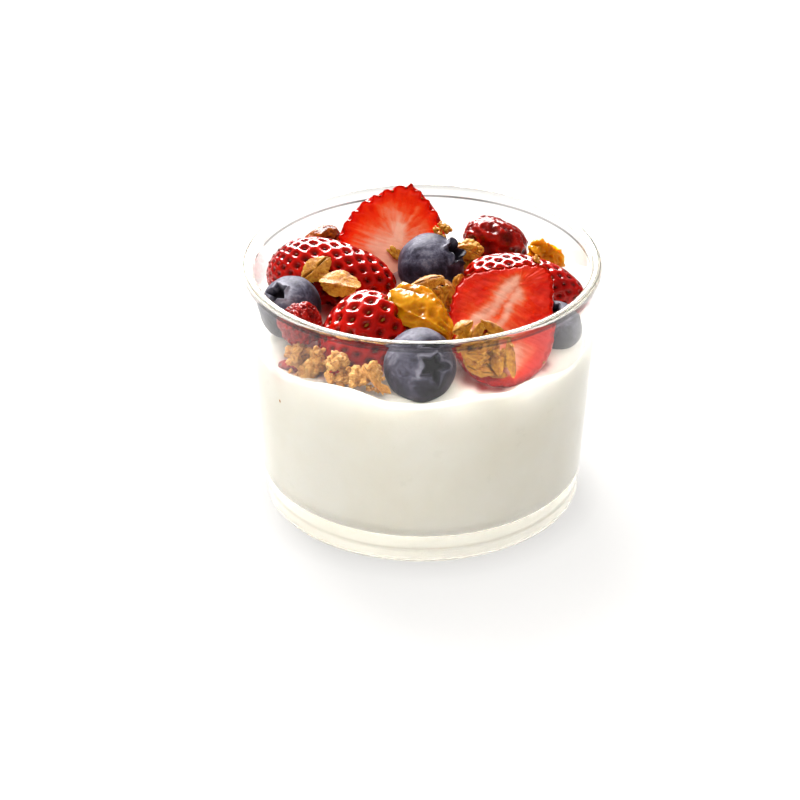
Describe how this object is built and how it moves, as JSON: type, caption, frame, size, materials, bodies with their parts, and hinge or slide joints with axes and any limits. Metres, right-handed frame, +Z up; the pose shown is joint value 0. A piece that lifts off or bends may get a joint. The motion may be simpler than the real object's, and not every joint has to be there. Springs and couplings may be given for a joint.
{
  "type": "yogurt parfait",
  "caption": "Yogurt parfait in a clear glass tumbler, topped with whole and sliced strawberries, blueberries, dried fruit, oat flakes and granola.",
  "frame": {"origin": "centre of the glass's underside, on the plane it stands on", "axes": "+Z up along the glass's axis; -Y is the front, the side with the front blueberry; +X is to the right seen from the front"},
  "size_m": [0.082, 0.082, 0.0657],
  "materials": {
    "glass": "clear, polished",
    "yogurt": "smooth, moist, thick plain yogurt",
    "strawberry": "glossy red skin with small seeds in pits",
    "strawberry_cut": "moist cut flesh, orange red with a pale middle",
    "blueberry": "dark skin under a dull grey bloom",
    "cranberry": "wrinkled, sticky dark red dried berry",
    "raisin": "wrinkled translucent golden dried fruit",
    "oat": "dry toasted oats with a light honey sheen"
  },
  "bodies": {
    "root": {"glass": "glass", "yogurt": "yogurt", "strawberry_left": "strawberry", "strawberry_front": "strawberry", "strawberry_right": "strawberry", "strawberry_slice_right": "strawberry_cut", "strawberry_slice_back": "strawberry_cut", "blueberry_front": "blueberry", "blueberry_left": "blueberry", "blueberry_top": "blueberry", "blueberry_right": "blueberry", "cranberry_back": "cranberry", "cranberry_left_back": "cranberry", "cranberry_front_left": "cranberry", "cranberry_low": "cranberry", "raisin_centre": "raisin", "raisin_back": "raisin", "oat_flake_left": "oat", "oat_flake_middle": "oat", "oat_cluster_centre": "oat", "granola_right": "oat", "granola_back": "oat", "granola_back_small": "oat", "granola_front_left": "oat", "granola_front_middle": "oat", "granola_front_right": "oat"}
  },
  "joints": []
}
